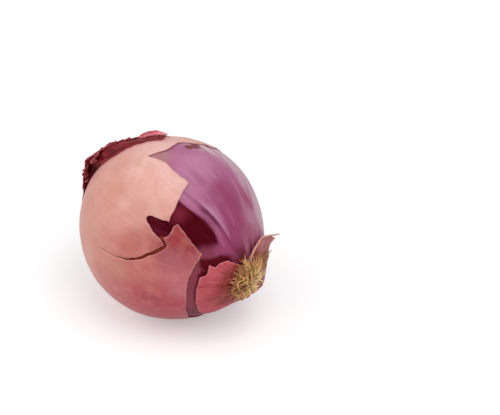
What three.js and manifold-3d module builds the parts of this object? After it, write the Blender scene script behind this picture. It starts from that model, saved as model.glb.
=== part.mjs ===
// A red onion lying on its side: a fleshy purple bulb in a torn papery skin, with its root end
// towards +X and a little down, and its dry neck towards -X. Millimetres, +Z up. The origin is
// the centre of the small flat spot that the onion rests on.
//
// Every layer is a round surface about one centre. A place on it is given by theta, the angle in
// degrees from the root end, and phi, the angle around the onion's axis from the top, growing
// towards -Y. Torn edges are outlines of such places.

import * as THREE from 'three';
import { mergeVertices } from 'three/addons/utils/BufferGeometryUtils.js';
import Module from 'manifold-3d';

const wasm = await Module();
wasm.setup();

// Driving dimensions, in millimetres and degrees.
const HALF_WIDTH = 37.8;      // half the widest diameter over the papery skin
const ROOT_SWELL = 0.134;     // how far the root end stands out, as a share of HALF_WIDTH
const ROOT_SPREAD = 30;       // how wide that end is
const NECK_SWELL = 0.068;     // the same for the shoulder below the neck
const NECK_SPREAD = 34;
const AXIS_TILT = 9.5;        // how far the root end hangs below the level
const REST_RADIUS = 7;        // the flat spot underneath
const SKIN = 0.5;             // a dry skin, with its cockles
const GAP = 0.3;              // between one layer and the next
const PLATE_SEAT = 40.8;      // from the centre to the flat end that the root plate sits on
const PLATE_RADIUS = 7.1;
const PLATE_THICKNESS = 2.5;
const CROWN_RADIUS = 5;       // the mat that the rootlets spring from
const CROWN_THICKNESS = 1.1;
const ROOTLET_RADIUS = 0.55;
const ROOTLETS = 16;
const ROOTLET_REACH = 9.2;    // from the axis to a rootlet's tip
const ROOTLET_ARCH = 1.2;     // how far a rootlet rises above the crown
const ROOTLET_DROP = 2.6;     // and how far its tip curls back down
const NECK_RADIUS = 7.4;      // where the neck leaves the shoulder
const NECK_BASE = 30;         // from the centre to where the neck starts, inside the bulb's surface
const NECK_TIP = 50.2;        // and to its dry tip
const NECK_PLEATS = 5;
const NECK_PLEAT_DEPTH = 0.1;
const NECK_TWIST = 0.16;      // radians that the pleats turn in each millimetre
const COLLAR_LIFT = 3.2;      // how far the collar stands off the skin below
const COLLAR_REACH = 30;      // degrees from the neck to where it stands highest
const ROLL_RADIUS = 1.85;     // the rolled scrap of skin at the collar's edge
const ROLL_LENGTH = 9.5;
const ROLL_TURN = 235;
const ROLL_PLACE = [121, -23];

// How finely the round layers are cut into flats.
const ROWS = 24;
const COLUMNS = 40;
const TURNED_SIDES = 24;
const ROOTLET_SIDES = 5;
const ROOTLET_STEPS = 5;
const STRAY_STEPS = 9;
const OUTSIDE = 260;          // well outside the onion, for the cutting shapes

// Where the main skin is torn open round the root end, as [theta, phi].
const ROOT_OPENING = [
  [45, 36], [36.5, 47.5], [37, 59], [37, 75], [36.7, 93], [38.5, 117], [43, 140], [46, 165],
  [45, 185], [49, 200], [58, 212], [57, 225], [62, 235], [60, 260], [58, 290], [58, 320], [56, 350], [55, 15],
];

// Where it is torn open over the top, down to the notch and along the crack that runs from it.
const TOP_OPENING = [
  [92, -30], [94, -15], [99, -14], [100, -8], [98, 2], [105, 13.5], [91, 11.5], [84, 13.5], [71, 12.5],
  [68.5, 22], [65.5, 31], [63, 41], [76.5, 46], [70, 51], [61.5, 54], [61.5, 61], [65.5, 66], [69, 71.5],
  [77, 77.5], [93, 79.3], [77, 78.8], [68, 73.6], [62, 68.5], [58.8, 63.5], [58, 57], [59, 49], [59.5, 42],
  [58.7, 38.4], [52.5, 40], [45, 44], [36.5, 47.5], [28, 44], [35, 0], [38, -50], [38, -100], [48, -136],
  [58, -137], [70, -125], [84, -112], [80, -100], [88, -88], [99, -75], [92, -62], [97, -50], [93, -38],
];

// The scrap of skin that is left round the root plate: its torn outer edge, then back round the plate.
const ROOT_SCRAP = [
  [18, 28], [22, 37], [24, 42], [25, 54], [29, 53.6], [28, 69], [32, 73], [31.3, 93], [31.5, 112], [33, 130],
  [34, 150], [31, 170], [35, 190], [33, 210], [36, 230], [30, 248], [33, 262], [28, 274], [30, 284], [22, 296],
  [18, 308],
];
const ROOT_SCRAP_INNER = 11;
const ROOT_SCRAP_STEP = 20;

// The ragged edge of the dry collar that flares round the neck.
const COLLAR_EDGE = [
  [141.5, 0], [145, 9], [149, 17], [152, 27], [150.5, 38], [153, 46], [151, 54], [149.5, 62], [152, 70],
  [158, 80], [155, 92], [149, 104], [153, 112], [147, 124], [151, 136], [143, 148], [139, 166], [146, 176],
  [141, 190], [134, 205], [140, 212], [135, 228], [139, 246], [131, 262], [137, 271], [133, 290], [138, 299],
  [129, 316], [131, 329], [136, 337], [133, 348], [138, 354],
];

// Two rootlets that stray well away from the tuft, as [theta, phi, height above the skin].
const STRAY_ROOTLETS = [
  [[5, -30, 2.5], [11, -37, 2.2], [18, -43, 1.5], [25, -54, 1.5], [33, -70, 3], [36.7, -76.6, 6.1]],
  [[5, -70, 2.5], [12, -62, 2], [20, -72, 1.6], [30.7, -82, 2.9]],
];

const radians = THREE.MathUtils.degToRad;
const restDepth = REST_RADIUS ** 2 / (2 * HALF_WIDTH);
const centre = new THREE.Vector3(0, 0, HALF_WIDTH - restDepth);
const rootward = new THREE.Vector3(Math.cos(radians(AXIS_TILT)), 0, -Math.sin(radians(AXIS_TILT)));
const upward = new THREE.Vector3(Math.sin(radians(AXIS_TILT)), 0, Math.cos(radians(AXIS_TILT)));
const sideways = new THREE.Vector3().crossVectors(rootward, upward);

// The papery skin's outer surface: its distance from the centre.
function outerRadius(theta) {
  const swell = (angle, spread) => Math.exp(-((angle / spread) ** 2));
  const rootEnd = ROOT_SWELL * swell(theta, ROOT_SPREAD);
  const neckEnd = NECK_SWELL * swell(180 - theta, NECK_SPREAD);
  return HALF_WIDTH * (1 + rootEnd + neckEnd);
}

function direction(theta, phi) {
  const round = Math.sin(radians(theta));
  return new THREE.Vector3()
    .addScaledVector(rootward, Math.cos(radians(theta)))
    .addScaledVector(upward, round * Math.cos(radians(phi)))
    .addScaledVector(sideways, round * Math.sin(radians(phi)));
}

function place(theta, phi, radius) {
  return direction(theta, phi).multiplyScalar(radius).add(centre);
}

// From a three.js geometry to a solid, and back.
function solidFrom(geometry) {
  const bare = new THREE.BufferGeometry();
  bare.setAttribute('position', geometry.getAttribute('position').clone());
  if (geometry.index) {
    bare.setIndex(geometry.index.clone());
  }
  const merged = mergeVertices(bare, 1e-4);
  const corners = [];
  for (let i = 0; i < merged.index.count; i += 3) {
    const [a, b, c] = [0, 1, 2].map((k) => merged.index.getX(i + k));
    if (a !== b && b !== c && c !== a) {
      corners.push(a, b, c);
    }
  }
  return new wasm.Manifold(new wasm.Mesh({
    numProp: 3,
    vertProperties: new Float32Array(merged.getAttribute('position').array),
    triVerts: new Uint32Array(corners),
  }));
}

function geometryFrom(solid) {
  const mesh = solid.getMesh();
  const geometry = new THREE.BufferGeometry();
  geometry.setAttribute('position', new THREE.BufferAttribute(mesh.vertProperties, 3));
  geometry.setIndex(new THREE.BufferAttribute(mesh.triVerts, 1));
  geometry.computeVertexNormals();
  return geometry;
}

function geometryOf(points, corners) {
  const geometry = new THREE.BufferGeometry();
  geometry.setAttribute('position', new THREE.Float32BufferAttribute(points.flatMap((p) => p.toArray()), 3));
  geometry.setIndex(corners);
  return geometry;
}

// A solid ball about the centre whose surface lies radiusAt(theta) from it.
function ball(radiusAt) {
  const points = [place(0, 0, radiusAt(0))];
  const corners = [];
  const at = (row, column) => 1 + (row - 1) * COLUMNS + (column % COLUMNS);
  for (let row = 1; row < ROWS; row += 1) {
    const theta = (row * 180) / ROWS;
    for (let column = 0; column < COLUMNS; column += 1) {
      points.push(place(theta, (column * 360) / COLUMNS, radiusAt(theta)));
    }
  }
  const neckEnd = points.push(place(180, 0, radiusAt(180))) - 1;
  for (let column = 0; column < COLUMNS; column += 1) {
    corners.push(0, at(1, column), at(1, column + 1));
    for (let row = 1; row < ROWS - 1; row += 1) {
      corners.push(at(row, column), at(row + 1, column), at(row + 1, column + 1));
      corners.push(at(row, column), at(row + 1, column + 1), at(row, column + 1));
    }
    corners.push(at(ROWS - 1, column), neckEnd, at(ROWS - 1, column + 1));
  }
  return solidFrom(geometryOf(points, corners));
}

// One of the onion's own layers, so far below the outer surface, and flat where it rests.
function layer(depth) {
  const above = new THREE.BoxGeometry(OUTSIDE, OUTSIDE, OUTSIDE);
  above.translate(0, 0, depth + OUTSIDE / 2);
  return ball((theta) => outerRadius(theta) - depth).intersect(solidFrom(above));
}

// Everything that is seen from the centre through an outline of [theta, phi] places. The outline
// goes round the root end, or with aroundNeck round the neck.
function wedge(outline, aroundNeck = false) {
  const flat = outline.map(([theta, phi]) => {
    const spread = Math.tan(radians(aroundNeck ? 180 - theta : theta) / 2);
    const turn = radians(aroundNeck ? -phi : phi);
    return new THREE.Vector2(spread * Math.cos(turn), spread * Math.sin(turn));
  });
  const places = outline.map(([theta, phi]) => place(theta, phi, OUTSIDE));
  if (THREE.ShapeUtils.isClockWise(flat)) {
    flat.reverse();
    places.reverse();
  }
  const tip = places.length;
  const corners = THREE.ShapeUtils.triangulateShape(flat, []).flat();
  places.forEach((_, i) => corners.push((i + 1) % tip, i, tip));
  return solidFrom(geometryOf([...places, centre], corners));
}

// A turned shape on the onion's axis, from [radius, distance from the centre] pairs.
function turned(profile, towards, sides, pleatDepth = 0) {
  const outline = profile.map(([radius, along]) => new THREE.Vector2(radius, along));
  const lathe = new THREE.LatheGeometry(outline, sides);
  const position = lathe.getAttribute('position');
  for (let i = 0; i < position.count; i += 1) {
    const [x, y, z] = [position.getX(i), position.getY(i), position.getZ(i)];
    const turn = NECK_PLEATS * Math.atan2(z, x) + NECK_TWIST * y;
    const pleat = 1 + pleatDepth * Math.cos(turn);
    position.setXYZ(i, x * pleat, y, z * pleat);
  }
  lathe.applyQuaternion(new THREE.Quaternion().setFromUnitVectors(new THREE.Vector3(0, 1, 0), towards));
  lathe.translate(centre.x, centre.y, centre.z);
  return solidFrom(lathe);
}

function neckStub(clearance) {
  const profile = [
    [0, NECK_BASE], [NECK_RADIUS, NECK_BASE], [NECK_RADIUS, NECK_TIP - 10], [6.2, NECK_TIP - 7.7],
    [4.9, NECK_TIP - 5.2], [4.2, NECK_TIP - 3.2], [3.8, NECK_TIP - 1.6], [2.4, NECK_TIP - 0.4],
  ].map(([radius, along]) => [radius && radius + clearance, along]);
  profile.push([0, NECK_TIP + clearance]);
  return turned(profile, rootward.clone().negate(), TURNED_SIDES, NECK_PLEAT_DEPTH);
}

// The fleshy bulb, cut square at the root end for the plate.
function makeBulb() {
  const end = new THREE.BoxGeometry(OUTSIDE, OUTSIDE, OUTSIDE);
  end.translate(PLATE_SEAT + OUTSIDE / 2, 0, 0);
  end.rotateY(radians(AXIS_TILT));
  end.translate(centre.x, centre.y, centre.z);
  return layer(SKIN + GAP).subtract(solidFrom(end));
}

// The main papery skin: a shell with the torn openings, the crack and the hole for the neck.
function makeOuterSkin() {
  return layer(0)
    .subtract(layer(SKIN))
    .subtract(wedge(ROOT_OPENING))
    .subtract(wedge(TOP_OPENING))
    .subtract(neckStub(GAP));
}

function makeRootSkin() {
  const inner = [];
  const first = ROOT_SCRAP[0][1];
  const last = ROOT_SCRAP[ROOT_SCRAP.length - 1][1];
  for (let phi = last; phi > first; phi -= ROOT_SCRAP_STEP) {
    inner.push([ROOT_SCRAP_INNER, phi]);
  }
  inner.push([ROOT_SCRAP_INNER, first]);
  return layer(0).subtract(layer(SKIN)).intersect(wedge([...ROOT_SCRAP, ...inner]));
}

function makeRootPlate() {
  const base = PLATE_SEAT + GAP;
  const top = base + PLATE_THICKNESS;
  return turned([
    [0, base], [PLATE_RADIUS - 0.5, base], [PLATE_RADIUS, base + 0.5], [PLATE_RADIUS - 0.2, base + 1.3],
    [PLATE_RADIUS - 1.5, top - 0.5], [PLATE_RADIUS / 2, top - 0.1], [0, top],
  ], rootward, TURNED_SIDES);
}

// A round strand through the given points, with closed ends.
function strand(points, steps) {
  const section = new THREE.Shape();
  for (let side = 0; side < ROOTLET_SIDES; side += 1) {
    const turn = (side * 2 * Math.PI) / ROOTLET_SIDES;
    const [x, y] = [ROOTLET_RADIUS * Math.cos(turn), ROOTLET_RADIUS * Math.sin(turn)];
    if (side === 0) {
      section.moveTo(x, y);
    } else {
      section.lineTo(x, y);
    }
  }
  const path = new THREE.CatmullRomCurve3(points);
  return solidFrom(new THREE.ExtrudeGeometry(section, { steps, bevelEnabled: false, extrudePath: path }));
}

// The tuft: rootlets that arch out of a crown and curl down over the root end, grown together there.
function makeRoots() {
  const crownBase = PLATE_SEAT + GAP + PLATE_THICKNESS + GAP;
  const crownTop = crownBase + CROWN_THICKNESS;
  const crownOutline = [[0, crownBase], [CROWN_RADIUS, crownBase], [CROWN_RADIUS, crownTop], [0, crownTop]];
  let tuft = turned(crownOutline, rootward, TURNED_SIDES);
  const axisPlace = (turn, out, along) => centre.clone()
    .addScaledVector(rootward, along)
    .addScaledVector(upward, out * Math.cos(turn))
    .addScaledVector(sideways, out * Math.sin(turn));
  const crownMiddle = crownBase + CROWN_THICKNESS / 2;
  for (let i = 0; i < ROOTLETS; i += 1) {
    const turn = (i / ROOTLETS) * 2 * Math.PI + 0.12 * Math.sin(i * 2.3);
    const reach = ROOTLET_REACH + 1.6 * Math.sin(i * 1.7);
    const arch = crownTop + ROOTLET_ARCH + 0.8 * Math.cos(i * 2.9);
    const curl = 0.25 * Math.sin(i * 3.1);
    tuft = tuft.add(strand([
      axisPlace(turn, CROWN_RADIUS - 1.5, crownMiddle),
      axisPlace(turn + curl / 3, reach * 0.66, arch),
      axisPlace(turn + curl, reach * 0.92, arch - ROOTLET_DROP / 3),
      axisPlace(turn + curl * 2, reach, arch - ROOTLET_DROP),
    ], ROOTLET_STEPS));
  }
  for (const stray of STRAY_ROOTLETS) {
    const points = stray.map(([theta, phi, height]) => place(theta, phi, outerRadius(theta) + height));
    tuft = tuft.add(strand(points, STRAY_STEPS));
  }
  return tuft;
}

function makeNeck() {
  return neckStub(0).subtract(ball((theta) => outerRadius(theta) - SKIN));
}

// The dry, dark skin that flares off the shoulder like a collar.
function makeNeckCollar() {
  const lift = (theta) => {
    const share = (180 - theta) / COLLAR_REACH;
    return COLLAR_LIFT * share ** 2 * Math.exp(2 * (1 - share));
  };
  const under = ball((theta) => outerRadius(theta) + GAP + lift(theta));
  const over = ball((theta) => outerRadius(theta) + GAP + lift(theta) + SKIN);
  return over.subtract(under).intersect(wedge(COLLAR_EDGE, true)).subtract(neckStub(GAP));
}

// A scrap torn along the bulb and rolled up on itself, lying on the shoulder.
function makeSkinRoll() {
  const section = new THREE.Shape();
  section.absarc(0, 0, ROLL_RADIUS, 0, radians(ROLL_TURN), false);
  section.absarc(0, 0, ROLL_RADIUS - SKIN, radians(ROLL_TURN), 0, true);
  const extent = { depth: ROLL_LENGTH, curveSegments: 9, bevelEnabled: false };
  const roll = new THREE.ExtrudeGeometry(section, extent);
  roll.translate(0, 0, -ROLL_LENGTH / 2);
  const [theta, phi] = ROLL_PLACE;
  const out = direction(theta, phi);
  const along = direction(theta + 90, phi);
  const across = new THREE.Vector3().crossVectors(along, out);
  roll.applyMatrix4(new THREE.Matrix4().makeBasis(out, across, along).setPosition(
    place(theta, phi, outerRadius(theta) + GAP + ROLL_RADIUS),
  ));
  return solidFrom(roll);
}

function part(name, solid, colour, roughness) {
  const material = new THREE.MeshStandardMaterial({ color: colour, roughness, metalness: 0 });
  const mesh = new THREE.Mesh(geometryFrom(solid), material);
  mesh.name = name;
  return mesh;
}

const onion = new THREE.Group();
onion.add(part('bulb', makeBulb(), 0x9c4a7c, 0.3));
onion.add(part('outer_skin', makeOuterSkin(), 0xdc9a8c, 0.5));
onion.add(part('root_skin', makeRootSkin(), 0xb0505c, 0.5));
onion.add(part('root_plate', makeRootPlate(), 0x9c6a44, 0.85));
onion.add(part('roots', makeRoots(), 0xb88c56, 0.8));
onion.add(part('neck', makeNeck(), 0x3a1418, 0.8));
onion.add(part('neck_collar', makeNeckCollar(), 0x6c1c24, 0.6));
onion.add(part('skin_roll', makeSkinRoll(), 0xd07c84, 0.5));

export default onion;
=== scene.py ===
"""A red onion on its side: a glossy purple bulb in torn papery skin, a dry neck and a tuft of roots."""

import math
import random

import bpy
import numpy as np
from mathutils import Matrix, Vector, geometry, kdtree, noise


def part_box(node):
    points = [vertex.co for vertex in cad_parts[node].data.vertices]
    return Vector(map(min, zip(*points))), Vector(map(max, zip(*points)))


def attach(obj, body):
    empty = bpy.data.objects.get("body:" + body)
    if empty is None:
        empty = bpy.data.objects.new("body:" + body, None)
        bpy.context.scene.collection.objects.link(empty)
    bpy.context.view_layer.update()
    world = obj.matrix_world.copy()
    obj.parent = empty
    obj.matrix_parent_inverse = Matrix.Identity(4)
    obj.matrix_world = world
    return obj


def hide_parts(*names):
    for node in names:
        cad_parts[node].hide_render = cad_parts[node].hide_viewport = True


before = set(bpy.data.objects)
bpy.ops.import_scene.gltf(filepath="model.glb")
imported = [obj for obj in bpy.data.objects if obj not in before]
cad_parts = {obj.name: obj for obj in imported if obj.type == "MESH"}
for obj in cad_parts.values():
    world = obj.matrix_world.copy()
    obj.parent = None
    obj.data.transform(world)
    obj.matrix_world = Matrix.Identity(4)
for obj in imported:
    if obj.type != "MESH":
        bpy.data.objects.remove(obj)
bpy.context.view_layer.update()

# Picks how the torn edges and the rootlets wander, so that every run gives the same ones.
WANDER_SEED = 12
noise.seed_set(WANDER_SEED)

# ---------------------------------------------------------------- the onion's shape

MM = 0.001
# The onion rests on a small flat spot of this radius in mm. All the sizes below are in mm too.
REST_RADIUS = 7.0
WIDEST_LOW, WIDEST_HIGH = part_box("outer_skin")
HALF_WIDTH = (WIDEST_HIGH.y - WIDEST_LOW.y) / (2 * MM)
CENTRE = np.array((0.0, 0.0, HALF_WIDTH - REST_RADIUS ** 2 / (2 * HALF_WIDTH)))

AXIS_TILT = math.radians(9.5)
ROOTWARD = np.array((math.cos(AXIS_TILT), 0.0, -math.sin(AXIS_TILT)))
UPWARD = np.array((math.sin(AXIS_TILT), 0.0, math.cos(AXIS_TILT)))
SIDEWAYS = np.array((0.0, -1.0, 0.0))

# How far the ball is drawn out at its ends, as a share of its radius, and over how many degrees.
ROOT_SWELL, ROOT_SPREAD = 0.134, 30.0
NECK_SWELL, NECK_SPREAD = 0.068, 34.0

# How far the bulb lies under its papery skin, and how thick the dry skins are.
BULB_DEPTH = 0.4
PAPER, NECK_PAPER, FLAKE_PAPER = 0.22, 0.3, 0.15
# How far apart the points of a skin are: the large one, those with fine teeth, and the crumpled one.
COARSE, FINE, FINEST = 0.66, 0.45, 0.42


def direction(theta, phi):
    """Directions from the centre, theta degrees from the root end and phi degrees round from the top."""
    theta, phi = np.radians(theta), np.radians(phi)
    across = np.cos(phi)[..., None] * UPWARD + np.sin(phi)[..., None] * SIDEWAYS
    return np.cos(theta)[..., None] * ROOTWARD + np.sin(theta)[..., None] * across


def unit(vectors):
    """The same directions with a length of one."""
    return vectors / np.linalg.norm(vectors, axis=1)[:, None]


def angles(directions):
    """Theta and phi of some directions."""
    theta = np.degrees(np.arccos(np.clip(directions @ ROOTWARD, -1, 1)))
    phi = np.degrees(np.arctan2(directions @ SIDEWAYS, directions @ UPWARD))
    return theta, phi


def skin_radius(theta):
    """Distance in mm from the bulb's centre to the outside of its papery skin."""
    root = ROOT_SWELL * np.exp(-((theta / ROOT_SPREAD) ** 2))
    neck = NECK_SWELL * np.exp(-(((180 - theta) / NECK_SPREAD) ** 2))
    return HALF_WIDTH * (1 + root + neck)


def on_onion(theta, phi, height):
    """Points in mm at a height over the papery skin's own surface."""
    theta = np.asarray(theta, float)
    return CENTRE + direction(theta, np.asarray(phi, float)) * (skin_radius(theta) + height)[..., None]


def ripple(points, size, octaves=2, seed=0):
    """Smooth random heights from about -1 to 1. Size is the width in mm of one bump."""
    shift = Vector((seed * 17.3, seed * 5.1, seed * -9.7))
    return np.array([noise.fractal(Vector(p) / size + shift, 1.0, 2.0, octaves) for p in points])


def ribs(theta, phi, count, length=40.0, seed=0):
    """Random ridges that run from root to neck, count of them round the onion."""
    turn = np.radians(phi)
    ring = count / (2 * math.pi)
    places = np.stack((np.cos(turn) * ring, np.sin(turn) * ring, theta / length + seed * 7.7), axis=-1)
    return np.array([noise.fractal(Vector(p), 1.0, 2.0, 2) for p in places])


def ease(value, start, end):
    """0 before start, 1 after end, and a soft slope between."""
    share = np.clip((value - start) / (end - start), 0, 1)
    return share * share * (3 - 2 * share)


def dents(points):
    """The onion's own broad unevenness in mm, which its skins follow."""
    return 0.15 * ripple(points, 14, seed=2)


def off_the_floor(points, level):
    """Flattens what would sink into the floor to a height in mm."""
    points[:, 2] = np.maximum(points[:, 2], level)
    return points


# ---------------------------------------------------------------- torn edges, as [theta, phi] corners

# The crack in the outer skin, and its widths in mm at all corners but the last.
CRACK_LINE = [(61.2, 53.2), (57.6, 55.6), (58.3, 58.0), (59.3, 60.8), (62.7, 64.9), (65.4, 68.8),
              (68.9, 72.5), (75.8, 76.4), (81.9, 78.3), (88.0, 79.4), (93.2, 80.0), (99.6, 81.9)]
CRACK_WIDTHS = [1.1, 1.4, 1.6, 1.6, 1.8, 1.5, 1.1, 0.8, 0.65, 0.52, 0.34]


def crack_sides():
    """The two sides of the crack, from its mouth to its end and back, as [theta, phi] corners."""
    middle = direction(*np.array(CRACK_LINE).T)
    near, far = [], []
    for i, width in enumerate(CRACK_WIDTHS):
        along = middle[min(i + 1, len(middle) - 1)] - middle[max(i - 1, 0)]
        aside = np.cross(middle[i], along)
        aside *= width / 2 / HALF_WIDTH / np.linalg.norm(aside)
        near.append(middle[i] + aside)
        far.append(middle[i] - aside)
    return list(zip(*angles(unit(np.array(far + [middle[-1]] + near[::-1])))))


def neck_hole(theta):
    """The round hole in a skin that the neck comes through."""
    return [(theta, phi) for phi in range(0, 360, 10)]


# The edge of the outer skin: over the top, then the crack, the flap, the root end and the back.
TOP_TEAR = [(90.5, -30), (93.5, -28.5), (95.2, -24.5), (96.2, -20), (98.2, -16), (100.4, -13.5),
            (101.4, -10), (100.6, -5), (99.6, 2), (105, 13.5), (91, 11.5), (84, 13.5), (71, 12.5),
            (68.5, 22), (65.5, 31), (63, 41), (70, 43), (76, 45.2), (76.6, 47), (74.5, 48.7), (70, 51),
            (64, 53.2)]
FLAP = [(59.0, 49.5), (59.5, 42), (58.7, 38.4), (52.5, 40), (45, 44), (36.5, 47.5)]
ROOT_TEAR = [(37, 59), (37, 75), (36.7, 93), (38.5, 117), (43, 140), (46, 165), (45, 185), (49, 200),
             (58, 212), (57, 225)]
BACK_TEAR = [(59, -138), (64, -133), (66, -126), (74, -121), (76, -113), (83, -108), (83, -99), (90, -94),
             (90, -88), (98, -80), (103, -71), (98, -64), (99, -57), (94, -50), (95, -44), (92, -38)]

# The scrap of skin left round the root plate.
ROOT_SCRAP = [(14, 24), (19, 33), (21.7, 35.3), (24, 44), (25, 53), (29, 53.6), (28, 66), (31.5, 72),
              (31.3, 93), (31.5, 112), (33, 130), (34, 150), (31, 170), (35, 190), (33, 210), (36, 230),
              (31, 246), (34, 258), (33.5, 268), (35, 275), (34.5, 281), (33, 288), (30, 294), (26, 308),
              (21, 323), (16, 340), (14, 352)]
ROOT_SCRAP_INNER = [(10, phi) for phi in range(352, 20, -16)]
# How far that scrap stands off the bulb, as [phi, mm].
SCRAP_LIFT = [(-180, 0), (-167, 0.8), (-157, 2.1), (-143, 3.3), (-131, 4.0), (-121, 3.8), (-111, 2.5),
              (-102, 1.7), (-94, 1.4), (-88, 1.4), (-83.6, 1.6), (-78.6, 1.9), (-72, 1.8), (-66, 1.3),
              (-58, 0.8), (-45, 0.3), (-30, 0), (180, 0)]

# The rim of the dry collar at the neck.
COLLAR_EDGE = [(141.5, 0), (144.5, 9), (147, 17), (149.5, 25), (149, 34), (151, 41), (149.5, 47),
               (151, 54), (148.5, 62), (151, 69), (157, 75), (155, 84), (156, 96), (152, 104), (149, 116),
               (150, 126), (158, 130), (152, 134), (146, 146), (142, 160), (144, 172), (141, 184),
               (149, 189), (140, 194), (136, 206), (137, 219), (134, 231), (145, 236), (137, 243),
               (134, 256), (132, 268), (135, 280), (133, 290), (138, 299), (129, 316), (131, 329),
               (136, 337), (133, 348), (138, 354)]
# How far the collar's rim stands off the skin, as [phi, mm].
COLLAR_LIFT = [(-180, 2.6), (-140, 1.8), (-100, 3.0), (-60, 2.2), (-30, 1.0), (-24, 0.6), (-19, 1.4),
               (-11, 1.5), (-5, 1.6), (2, 2.2), (8, 3.0), (16, 4.1), (24, 4.7), (33, 5.2), (38, 5.6),
               (43, 4.6), (50, 3.4), (56, 2.5), (62, 1.6), (68, 0.9), (74, 0.5), (95, 0.5), (125, 1.0),
               (150, 2.2), (180, 2.6)]
# A lower layer of the same dry skin, which laps over the pale skin.
WRAP_EDGE = [(115.4, -6), (120.8, -0.5), (125.2, 4), (129.2, 8.5), (132.4, 12), (135.2, 17), (138, 22),
             (141, 26.5), (145.5, 31), (149.5, 37), (151, 44), (149.8, 52), (150.5, 60), (154, 66),
             (159, 76), (153, 88), (151, 101), (148, 113), (156, 118), (147, 124), (143, 139), (141, 152),
             (147, 160), (139, 171), (138, 186), (141, 199), (135, 212), (133, 226), (142, 232),
             (134, 240), (131, 254), (134, 270), (129, 284), (132, 300), (127, 314), (129, 325),
             (125, 334), (120, 341), (115, 345), (113, 349)]
# How much of the collar's lift that layer takes, as [phi, share].
WRAP_SHARE = [(-180, 0.6), (-40, 0.6), (-24, 0.1), (-8, 0.15), (-2, 0.6), (14, 0.84), (45, 0.88),
              (66, 0.95), (78, 0.6), (180, 0.6)]
# A shorter layer, inside the collar.
TATTER_EDGE = [(163, 10), (160, 40), (164, 72), (158, 88), (157, 110), (165, 118), (159, 140), (156, 158),
               (163, 176), (157, 190), (154, 214), (156, 232), (164, 244), (158, 262), (155, 284),
               (161, 300), (157, 318), (162, 340)]

# Dark maroon patches on the purple bulb, the small ones partly painted shade under the skins' lifted edges,
# the fold that cuts the large one off, and a second fold.
STAIN_AND_SHADE_PATCHES = [
    [(72, 20), (60, 18), (50, 17), (42, 17), (37, 19), (34.0, 24), (32.6, 28.5), (32.8, 33), (35.2, 37),
     (38.6, 43.5), (44.5, 51), (58, 60), (80, 58), (86, 46), (74, 38), (69, 30)],
    [(36, 53), (33, 60), (27.5, 66), (24, 50), (21, 36), (18, 30), (22, 29), (26.5, 36), (29, 46)],
    [(24, 62), (31.5, 62), (32.5, 70), (32, 82), (31.8, 100), (32.3, 125), (34, 140), (26, 120)],
]
FOLD = [(76, 28), (72, 27), (66.6, 26.2), (61.9, 25.9), (57.7, 24.8), (53.4, 23.6), (49.2, 22.0),
        (44.5, 20.8), (39.9, 20.6), (36.2, 22.0), (33.5, 24), (29, 26)]
SECOND_FOLD = [(76, 18.5), (65, 17.6), (59, 16.8), (54.4, 15.9), (50, 15.4), (44.7, 14.9), (39.5, 14.6),
               (33, 13.4), (24.8, 13.6), (18, 14)]
# Where the bulb's pale streak runs, finely veined and partly a painted sheen near its right rim, and how
# wide its second fold's shadow is, as [theta, mm].
PALE_SHEEN_STREAK = [(100, -24), (90.7, -30), (81.3, -35), (71.3, -39.5), (61.2, -44), (50, -52), (41, -61)]
FOLD_WIDTHS = [(20, 0.8), (33, 1.0), (39, 1.5), (44, 2.4), (50, 2.5), (55, 1.8), (59, 1.4), (76, 1.2)]


def flatten(directions, pole):
    """Lays directions out flat round a pole, keeping their angles."""
    across = 1 + directions @ pole
    return np.stack((directions @ SIDEWAYS / across, directions @ UPWARD / across), axis=1)


def unflatten(flat, pole):
    """The directions that flatten laid out flat."""
    reach = (flat ** 2).sum(axis=1)[:, None]
    spread = 2 * (flat[:, :1] * SIDEWAYS + flat[:, 1:] * UPWARD)
    return ((1 - reach) * pole + spread) / (1 + reach)


def torn_edge(corners, step=0.42, wander=((9, 0.5), (2.6, 0.34), (0.9, 0.16)), closed=True):
    """Directions along an edge through [theta, phi] corners. Wander is sizes with a reach each, in mm."""
    ends = direction(*np.array(corners, float).T)
    following = np.roll(ends, -1, axis=0) if closed else ends[1:]
    line = []
    for start, end in zip(ends, following):
        count = max(1, int(np.linalg.norm(end - start) * HALF_WIDTH / step))
        share = np.arange(count)[:, None] / count
        line.append(start + share * (end - start))
    line = unit(np.concatenate(line))
    for size, reach in wander:
        push = np.array([noise.noise_vector(Vector(p) * (HALF_WIDTH / size)) for p in line])
        line = line + push * (reach / HALF_WIDTH)
    return unit(line)


def inside(points, loop):
    """Whether each flat point is inside a closed loop."""
    found = np.zeros(len(points), bool)
    for (x0, y0), (x1, y1) in zip(loop, np.roll(loop, -1, axis=0)):
        if y0 == y1:
            continue
        between = (points[:, 1] < y0) != (points[:, 1] < y1)
        found ^= between & (points[:, 0] < x0 + (x1 - x0) * (points[:, 1] - y0) / (y1 - y0))
    return found


def distance_to(line, directions):
    """Distance in mm along the skin from each direction to the nearest point of a line."""
    tree = kdtree.KDTree(len(line))
    for i, place in enumerate(line):
        tree.insert(Vector(place), i)
    tree.balance()
    return np.array([tree.find(Vector(d))[2] for d in directions]) * HALF_WIDTH


# ---------------------------------------------------------------- making meshes


def piece(name, points, faces, materials, values=None, smooth=True):
    """An object from points in mm. Values are numbers kept at each point for its material."""
    mesh = bpy.data.meshes.new(name)
    mesh.from_pydata((np.asarray(points) * MM).tolist(), [], [list(map(int, f)) for f in faces])
    for label, numbers in (values or {}).items():
        kept = mesh.attributes.new(label, "FLOAT", "POINT").data
        kept.foreach_set("value", np.asarray(numbers, np.float32))
    mesh.polygons.foreach_set("use_smooth", [smooth] * len(mesh.polygons))
    for material in materials:
        mesh.materials.append(material)
    mesh.update()
    made = bpy.data.objects.new(name, mesh)
    bpy.context.scene.collection.objects.link(made)
    return made


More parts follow.
